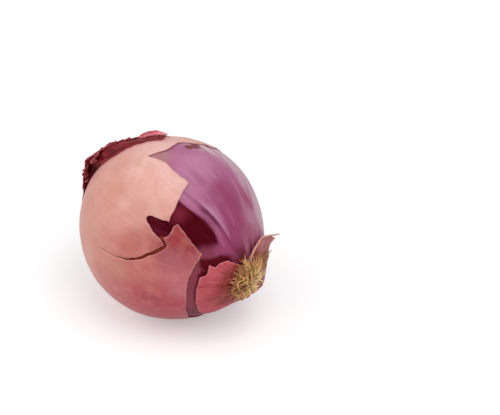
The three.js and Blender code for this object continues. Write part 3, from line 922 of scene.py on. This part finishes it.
def collar_lift(theta, phi):
    """How far the collar's pleats stand off, growing from the neck to the rim."""
    return np.interp(phi, *zip(*COLLAR_LIFT)) * np.clip((180 - theta) / 31, 0, 1.15) ** 1.2


def neck_rise(theta, phi):
    """How far the dry skins rise in folds to close round the neck."""
    return 3.4 * ease(theta, 155, 173) ** 1.4 * (1 + 0.3 * ribs(theta, phi, 20, length=50, seed=31))


def collar_height(theta, phi, place, depth):
    """Flares off the shoulder in crumpled pleats."""
    lift = collar_lift(theta, phi)
    pleats = 1 + 0.12 * ripple(place, 14, seed=10) + 0.16 * ribs(theta, phi, 26, length=60, seed=11)
    height = 0.25 + lift * pleats
    height += np.minimum(lift, 2) * 0.14 * ribs(theta, phi, 80, length=25, seed=12)
    height += lift * 0.12 * (1 + ripple(place, 4, seed=14)) * np.exp(-depth / 1.6)
    return np.maximum(height, 0.3) + neck_rise(theta, phi)


def wrap_height(theta, phi, place, depth):
    """Hugs the shoulder and crumples up toward the neck."""
    share = np.interp(phi, *zip(*WRAP_SHARE))
    layered = place * 0.16 + np.stack((depth / 1.3, depth * 0, depth * 0 + 5), axis=1)
    height = 0.2 + share * collar_lift(theta, phi) * ease(depth, -0.3, 5.5) + dents(place)
    creases = 0.45 * np.abs(ribs(theta, phi, 80, length=22, seed=22))
    height += ease(depth, 0, 2.5) * (0.5 * ribs(theta, phi, 30, length=40, seed=21) + creases)
    crumple = 0.3 * ripple(place, 3.2, seed=23) + 0.4 * ripple(layered, 1, octaves=3, seed=25)
    height += crumple * ease(depth, 0, 1.5)
    return np.maximum(height + 0.08 * (1 + ripple(place, 2.5, seed=24)) * np.exp(-depth / 0.6), 0.18)


def tatter_height(theta, phi, place, depth):
    """A shorter layer inside the collar that stands off further."""
    lift = collar_lift(theta, phi)
    height = 0.8 + 1.1 * lift + 0.3 * lift * ribs(theta, phi, 18, length=60, seed=15)
    height += np.minimum(lift, 2) * 0.2 * ribs(theta, phi, 60, length=25, seed=16)
    height += lift * 0.15 * (1 + ripple(place, 4, seed=17)) * np.exp(-depth / 2)
    return np.maximum(height, 0.7) + neck_rise(theta, phi)


def make_skins():
    """The papery skin, the scrap at the roots and the three layers of the collar."""
    ragged = ((8, 1.2), (3, 1.1), (1.4, 0.9), (0.7, 0.5))
    wrap_edge = torn_edge(WRAP_EDGE, wander=ragged)
    corners = TOP_TEAR + crack_sides() + FLAP + ROOT_TEAR + BACK_TEAR
    outer = sheet("outer_skin", torn_edge(corners), -ROOTWARD, COARSE, outer_skin_height,
                  [PAPERY_SKIN, SKIN_LINING], neck_hole(171), beside=wrap_edge)
    finished(outer, "outer_skin", "outer_skin")

    scrap_edge = torn_edge(ROOT_SCRAP + ROOT_SCRAP_INNER, wander=((2.6, 0.3), (0.9, 0.2)))
    scrap = sheet("root_skin", scrap_edge, ROOTWARD, FINE, root_scrap_height, [ROSY_SCRAP])
    finished(scrap, "root_skin", "root_skin")

    collar_edge, tatter_edge = (torn_edge(corners, wander=ragged) for corners in (COLLAR_EDGE, TATTER_EDGE))
    for name, edge, spacing, height, outside, *nodes in (
            ("neck_collar", collar_edge, FINE, collar_height, COLLAR_OUTSIDE, "neck_collar"),
            ("collar_wrap", wrap_edge, FINEST, wrap_height, WRAP_SKIN),
            ("collar_tatters", tatter_edge, FINE, tatter_height, COLLAR_OUTSIDE)):
        layer = sheet(name, edge, -ROOTWARD, spacing, height, [outside, COLLAR_INSIDE], neck_hole(171.5))
        finished(layer, "neck_collar", *nodes)


# ---------------------------------------------------------------- neck, roll, flakes and roots

# Each layer's radius at its foot and mouth, where it starts and ends, and how deep its teeth are, in mm.
NECK_LAYERS = [(8.5, 6.1, 33.0, 46.0, 3.6), (8.0, 5.0, 33.0, 48.3, 3.4), (6.6, 3.8, 34.0, 49.6, 3.2),
               (4.8, 2.4, 35.0, 50.2, 2.6), (2.6, 1.0, 36.0, 49.4, 1.8)]


def make_neck():
    """Dry skins wrapped and twisted into a stub, each torn off at its own height."""
    turns, steps = 220, 42
    phi = np.arange(turns) * 2 * math.pi / turns
    points, faces, edge = [], [], []
    for layer, (foot, mouth, low, high, teeth) in enumerate(NECK_LAYERS):
        ring = np.stack((np.cos(phi) * 1.6, np.sin(phi) * 1.6, np.full(turns, layer * 5.0)), axis=1)
        tooth = np.array([noise.fractal(Vector(p) * 1.1, 0.9, 2.3, 3) for p in ring])
        top = high - teeth * (0.5 + 1.1 * np.clip(tooth, -0.6, 0.9))
        for step in range(steps):
            share = step / (steps - 1)
            out = low + share * (top - low)
            pinch = foot + (mouth - foot) * share ** 0.75
            twist = phi + 1.5 * share ** 1.3 + layer * 0.8
            up = layer * 3 + share * 0.4
            spots = [Vector((math.cos(a) * 1.7, math.sin(a) * 1.7, up)) for a in phi]
            pleat = np.array([noise.fractal(spot, 1.0, 2.0, 2) for spot in spots])
            radius = pinch * (1 + (0.14 + 0.16 * share) * pleat) + 0.3 * share ** 6 * (1 + 2 * tooth)
            across = np.cos(twist)[:, None] * UPWARD + np.sin(twist)[:, None] * SIDEWAYS
            points.append(CENTRE - out[:, None] * ROOTWARD + radius[:, None] * across)
            edge.append(top - out)
        first = layer * steps * turns
        faces += [tuple(first + v for v in face) for face in ring_faces(steps, turns, capped=False)]
    made = piece("neck", np.concatenate(points), faces, [NECK_SKIN], {"edge": np.concatenate(edge)})
    thicken(made, NECK_PAPER)
    finished(made, "neck", "neck")


# The middle of the rolled strip, as [theta, phi, height].
ROLL_LINE = [(132.5, -6.5, 1.7), (127.8, -11.5, 2.0), (123, -16.5, 1.9), (118.5, -21.5, 1.0)]


def make_skin_roll():
    """A strip torn along the bulb and rolled up on itself at the collar's edge."""
    rows, turns = 56, 60
    start, rolled, widest, tighter = -70, 225, 1.5, 0.4
    shares = np.linspace(0, 1, rows)
    count = len(ROLL_LINE)
    middle = [np.interp(shares * (count - 1), range(count), column) for column in zip(*ROLL_LINE)]
    outward = direction(middle[0], middle[1])
    line = on_onion(*middle)
    aside = np.cross(outward, unit(np.gradient(line, axis=0)))
    points, edge = [], []
    for row, share in enumerate(shares):
        taper = max(0.1, 1 - abs(2 * share - 1) ** 4)
        for turn in range(turns):
            part = turn / (turns - 1)
            sweep = math.radians(start + (rolled + 40 * math.sin(share * 5)) * part)
            dent = 1 + 0.16 * noise.noise(Vector((share * 9, part * 4, 3)))
            radius = (widest - tighter * part) * taper * dent
            curled = outward[row] * -math.cos(sweep) + aside[row] * math.sin(sweep)
            points.append(line[row] + radius * curled)
            edge.append(min(part, 1 - part, share, 1 - share) * 20)
    made = piece("skin_roll", points, strip_faces(rows, turns), [ROLL_SKIN], {"edge": edge})
    thicken(made, PAPER)
    finished(made, "skin_roll", "skin_roll")


def add_scrap(points, faces, edge, start, ahead, aside, size, curl, tip, seed):
    """One curled scrap of skin from start on, as long and as wide as size says, narrowing to a point."""
    rows, columns = 13, 7
    length, width = size
    out = np.cross(ahead, aside)
    faces += strip_faces(rows, columns, len(points))
    for row in range(rows):
        share = row / (rows - 1)
        lean = curl * share * 0.5
        spine = start + length * share * (ahead * math.cos(lean) + out * math.sin(lean + tip * 0.5))
        for column in range(columns):
            side = 2 * column / (columns - 1) - 1
            ragged = 1 + 0.7 * noise.noise(Vector((seed * 3.1, share * 8, 5 if side > 0 else 0)))
            half = width * ragged * (1 - share) ** 0.6 * (0.6 + share * 0.6) + 0.04
            cup = 0.3 * width * side * side * (1 if seed % 2 else -1)
            points.append(spine + aside * half * side + out * cup)
            edge.append(min(half * (1 - abs(side)), length * (1 - share)))


# Bright red scraps that stand up: phi, share of the collar's lift, size in mm, turn and lean in degrees.
SHREDS = [(7.5, 0.9, (4.6, 1.5), 8, 50), (3.5, 1.0, (4.2, 1.7), -10, 62),
          (-2, 1.1, (3.8, 1.3), 6, 58), (-6, 1.1, (3.4, 1.0), -12, 66)]


def make_flakes():
    """Small curled scraps of dry skin along the collar's rim, and a few bright red ones that stand up."""
    chance, flake_count = random.Random(5), 15
    rim = torn_edge(COLLAR_EDGE, wander=())
    rim_theta, rim_phi = angles(rim)
    near = np.flatnonzero((rim_phi > 3) & (rim_phi < 68))
    flakes = []
    for _ in range(flake_count):
        at = int(chance.choice(near))
        flakes.append((at, chance.uniform(0.6, 0.95), (chance.uniform(1.4, 3.6), chance.uniform(0.8, 1.6)),
                       chance.uniform(-0.5, 0.4), chance.uniform(-0.35, 0.15), chance.uniform(-24, 24),
                       chance.choice((-1, 1)), chance.uniform(-30, 60)))
    shreds = []
    for phi, share, size, spin, lean in SHREDS:
        at = int(np.argmin(np.abs(rim_phi - phi) + 0.2 * np.abs(rim_theta - 142)))
        shreds.append((at, share, size, 0.4, 0.3, spin, 1, lean))
    for name, finish, scraps in (("collar_flakes", FLAKE_SKIN, flakes),
                                 ("collar_shreds", TATTER_SKIN, shreds)):
        points, faces, edge = [], [], []
        for index, (at, share, size, curl, tip, spin, way, lean) in enumerate(scraps):
            out = rim[at]
            ahead = (rim[(at + 2) % len(rim)] - out) * way
            ahead /= np.linalg.norm(ahead)
            spin, lean = math.radians(spin), math.radians(lean)
            ahead = ahead * math.cos(spin) + np.cross(out, ahead) * math.sin(spin)
            aside = np.cross(out, ahead) * math.cos(lean) + out * math.sin(lean)
            rise = share * float(collar_lift(rim_theta[at], rim_phi[at])) + 0.35
            start = on_onion(rim_theta[at], rim_phi[at], rise)
            add_scrap(points, faces, edge, start, ahead, aside, size, curl, tip, index)
        made = piece(name, points, faces, [finish], {"edge": edge})
        thicken(made, FLAKE_PAPER)
        finished(made, "neck_collar")


# The root plate's outline: how far each corner is off the axis and out from the centre, in mm.
PLATE_PROFILE = [(0.6, 43.3), (1.3, 43.2), (2.0, 43.35), (2.8, 43.15), (3.6, 43.3), (4.4, 43.1),
                 (5.2, 43.2), (6.0, 42.9), (6.6, 42.6), (7.0, 42.1), (7.1, 41.5), (6.9, 41.0),
                 (5.0, 40.8), (2.0, 40.8)]


def make_root_plate():
    """The corky disc that the roots grow from, ringed and lumpy."""
    turns, step = 96, 0.34
    at = np.arange(0, len(PLATE_PROFILE) - 1, step)
    radii, outs = (np.interp(at, range(len(PLATE_PROFILE)), column) for column in zip(*PLATE_PROFILE))
    points = []
    for radius, out in zip(radii, outs):
        for turn in range(turns):
            angle = 2 * math.pi * turn / turns
            across = math.cos(angle) * UPWARD + math.sin(angle) * SIDEWAYS
            spot = ROOTWARD * out + across * radius
            lump = noise.fractal(Vector(spot) / 1.3, 1.0, 2.0, 3)
            points.append(CENTRE + spot + ROOTWARD * 0.3 * lump + across * 0.25 * lump)
    points += [CENTRE + ROOTWARD * PLATE_PROFILE[0][1], CENTRE + ROOTWARD * PLATE_PROFILE[-1][1]]
    made = piece("root_plate", points, ring_faces(len(radii), turns), [CORKY_PLATE])
    finished(made, "root_plate", "root_plate")


# The long stray rootlets, as a radius, a tone and [theta, phi, height] knots.
STRAY_ROOTLETS = [
    (0.6, 0.93, [(9, 0, 1.6), (11.6, -5.1, 1.4), (14.6, -11.3, 0.9), (17.9, -23.1, 0.7), (21.8, -36.1, 0.7),
                 (25.4, -46.0, 0.7), (28.0, -58.1, 1.0), (35.5, -76.0, 3.4), (36.6, -76.8, 6.2)]),
    (0.46, 0.3, [(4.8, 4.0, 1.8), (8.7, -17.6, 1.9), (12.1, -40.4, 1.9), (17.2, -59.8, 1.9),
                 (26.5, -82.0, 2.9)]),
    (0.36, 0.55, [(3.3, -177.6, 2.2), (4.6, 13.8, 2.6), (10.0, 4.2, 1.7), (12.4, 3.4, 1.1)]),
    (0.3, 0.7, [(8, 10, 1.4), (11.5, 8, 1.3), (15, 7, 0.9), (17.5, 5, 0.8)]),
]
# How far the tuft spreads and stands off, as [phi, theta, mm].
TUFT_REACH = [(-180, 18, 0.8), (-157, 17, 2.2), (-142, 16.3, 3.0), (-126, 16.5, 3.6), (-112, 17.5, 2.4),
              (-97, 20, 1.2), (-86, 25, 0.8), (-74, 25, 0.8), (-60, 20, 0.8), (-35, 16, 0.8),
              (-12, 15.2, 0.8), (5, 16, 0.8), (20, 17, 0.8), (43, 16.8, 0.8), (53, 16.4, 0.8),
              (67, 15.2, 0.8), (84, 14.6, 0.8), (109, 13.6, 0.7), (150, 14.2, 0.7), (180, 18, 0.8)]


def rootlet(knots, radius, curl, seed, sides=6):
    """One tapering rootlet through [theta, phi, height] knots: points, faces and shares of its length."""
    spots = on_onion(*np.array(knots, float).T)
    span = np.linspace(0, len(spots) - 1, 5 * (len(spots) - 1) + 1)
    path = []
    for value in span:
        at = min(int(value), len(spots) - 2)
        share = value - at
        around = (min(max(at + step, 0), len(spots) - 1) for step in (-1, 0, 1, 2))
        before, start, end, after = (spots[knot] for knot in around)
        bend = 2 * start + (end - before) * share + (2 * before - 5 * start + 4 * end - after) * share ** 2
        path.append(0.5 * (bend + (3 * start - before - 3 * end + after) * share ** 3))
    along = np.linspace(0, 1, len(path))
    kink = np.array([noise.noise_vector(Vector((seed * 3.7, value * 4.0, 1.0))) for value in along])
    path = np.array(path) + kink * curl * along[:, None]
    outward = path - CENTRE
    far = np.linalg.norm(outward, axis=1)
    outward /= far[:, None]
    theta, phi = angles(outward)
    least = skin_radius(theta) + scrap_lift(theta, phi) + 0.45 * ease(along, 0, 0.3)
    path = CENTRE + outward * np.maximum(far, least)[:, None]
    ahead = unit(np.gradient(path, axis=0))
    aside = unit(np.cross(ahead, outward))
    up = np.cross(aside, ahead)
    points = []
    for i, centre in enumerate(path):
        lump = 1 + 0.18 * noise.noise(Vector((i * 0.6, seed, 5.0)))
        thin = radius * (1 - 0.55 * along[i] ** 2.5) * lump
        for side in range(sides):
            turn = 2 * math.pi * side / sides + along[i] * 2
            points.append(centre + thin * (math.cos(turn) * aside[i] + 0.7 * math.sin(turn) * up[i]))
    points += [path[0], path[-1]]
    return points, ring_faces(len(path), sides), np.append(np.repeat(along, sides), (0, 1))


def make_roots():
    """A matted tuft of curled rootlets, some that lie across it, and the long stray ones."""
    chance = random.Random(11)
    in_tuft, in_low_side, across_tuft = 200, 25, 28
    points, faces, tones, alongs = [], [], [], []

    def grow(knots, radius, tone, curl, seed):
        """Adds one rootlet."""
        spots, sides, along = rootlet(knots, radius, curl, seed)
        first = len(points)
        points.extend(spots)
        faces.extend(tuple(first + v for v in face) for face in sides)
        tones.extend([tone] * len(spots))
        alongs.extend(along)

    phis, reaches, rises = zip(*TUFT_REACH)
    for index in range(in_tuft):
        phi = chance.uniform(-95, -30) if index < in_low_side else chance.uniform(-180, 180)
        start = 7.5 * chance.random()
        sway = chance.uniform(-24, 24)
        end = (phi + sway + 180) % 360 - 180
        reach = np.interp(end, phis, reaches) * chance.uniform(0.7, 1.0) - start
        rise = np.interp(end, phis, rises) * chance.uniform(0.3, 1.0)
        arch = chance.uniform(0.5, 2.1)
        hook = chance.uniform(-14, 14)
        knots = [(max(start, 1.2), phi, 0.2), (start + reach * 0.25, phi + sway * 0.35, arch * 0.9),
                 (start + reach * 0.5, phi + sway * 0.6, arch + 0.2 + rise * 0.3),
                 (start + reach * 0.78, phi + sway * 0.85 + hook * 0.4, arch * 0.5 + 0.2 + rise * 0.6),
                 (start + reach, phi + sway + hook * 0.3, max(rise, 0.4))]
        grow(knots, chance.uniform(0.2, 0.38), chance.random(), chance.uniform(0.3, 0.9), index * 1.3)
    for index in range(across_tuft):
        phi = chance.uniform(-180, 180)
        turn = chance.choice((-1, 1)) * chance.uniform(40, 140)
        level = chance.uniform(1.0, 2.8)
        middle = chance.uniform(3, 10)
        knots = []
        for share in (0, 0.25, 0.5, 0.75, 1):
            theta = max(1, middle + chance.uniform(-3, 3))
            knots.append((theta, phi + turn * share, level + chance.uniform(-0.6, 0.6)))
        grow(knots, chance.uniform(0.2, 0.36), chance.random() * 0.9, 0.8, 400 + index * 1.7)
    for radius, tone, knots in STRAY_ROOTLETS:
        grow(knots, radius, tone, 0.3, 900 + radius)
    made = piece("roots", off_the_floor(np.array(points), 0.0), faces, [DRY_ROOT],
                 {"tone": tones, "along": alongs})
    finished(made, "roots", "roots")


make_bulb()
make_skins()
make_neck()
make_skin_roll()
make_flakes()
make_root_plate()
make_roots()


# ---------------------------------------------------------------- floor, light and camera


def make_floor():
    """A white floor that keeps the onion's soft shadow."""
    material, n = new_finish("white_floor", Base_Color=(0.86, 0.86, 0.86, 1), Emission_Color=(1, 1, 1, 1),
                             Roughness=0.9, Specular_IOR_Level=0.1)
    seen = n.add("LightPath").outputs["Is Camera Ray"]
    away = n.vector("LENGTH", n.add("TexCoord").outputs["Object"])
    near, far, near_glow, far_glow = 0.15, 1.2, 0.32, 0.8
    n.give("Emission Strength", n.times(seen, n.slope(away, near, far, near_glow, far_glow)))
    reach = 4000.0
    corners = [(-reach, -reach, 0), (reach, -reach, 0), (reach, reach, 0), (-reach, reach, 0)]
    floor = piece("floor", corners, [(0, 1, 2, 3)], [material], smooth=False)


def make_world():
    """Even white surroundings, seen as plain white and dimmer as light."""
    world = bpy.data.worlds.new("white_room")
    bpy.context.scene.world = world
    world.use_nodes = True
    n = Nodes(world.node_tree)
    rays = n.add("LightPath").outputs
    mirrored = n.math("MAXIMUM", rays["Is Glossy Ray"], rays["Is Transmission Ray"])
    seen = n.math("MAXIMUM", rays["Is Camera Ray"], mirrored)
    back = world.node_tree.nodes["Background"].inputs
    as_light, as_seen = 0.5, 1.0
    n.feed(back["Color"], (1, 1, 1, 1))
    n.feed(back["Strength"], n.slope(seen, 0, 1, as_light, as_seen))


def bearing(azimuth, elevation):
    """The direction of a lamp or camera, in degrees: azimuth 0 in front, 90 at the root end."""
    turn, rise = math.radians(azimuth), math.radians(elevation)
    return np.array((math.sin(turn) * math.cos(rise), -math.cos(turn) * math.cos(rise), math.sin(rise)))


def place_at(name, data, location, toward):
    """Puts a lamp or camera in the scene, turned to look back along its bearing."""
    made = bpy.data.objects.new(name, data)
    bpy.context.scene.collection.objects.link(made)
    made.location = Vector(location)
    made.rotation_euler = Vector(toward).to_track_quat("Z", "Y").to_euler()
    return made


def make_lamp(name, azimuth, elevation, distance, size, level):
    """A square lamp. Distance and size are in metres, and level is a share of full light."""
    light = bpy.data.lights.new(name, "AREA")
    light.size = size
    light.energy = level * math.pi ** 2 * distance ** 2
    toward = bearing(azimuth, elevation)
    place_at(name, light, Vector(CENTRE) * MM + Vector(toward) * distance, toward)


def make_camera():
    """A camera above the root end's near side, with the onion left of and below the middle."""
    azimuth, elevation, distance = 42, 32, 620.0
    onion_left, onion_below = 32.4, 8.4
    toward = bearing(azimuth, elevation)
    right = np.array((math.cos(math.radians(azimuth)), math.sin(math.radians(azimuth)), 0))
    up = np.cross(toward, right)
    view = bpy.data.cameras.new("camera")
    view.sensor_width = 36
    view.lens = 107.6
    view.clip_end = 100
    spot = CENTRE + onion_left * right + onion_below * up + distance * toward
    bpy.context.scene.camera = place_at("camera", view, spot * MM, toward)


make_floor()
make_world()
for lamp in (("top_light", 80, 62, 1.1, 0.9, 0.415), ("front_light", 5, 35, 1.3, 1.0, 0.12),
             ("left_light", -50, 30, 1.3, 1.0, 0.175)):
    make_lamp(*lamp)
make_camera()
bpy.context.scene.view_settings.view_transform = "Standard"
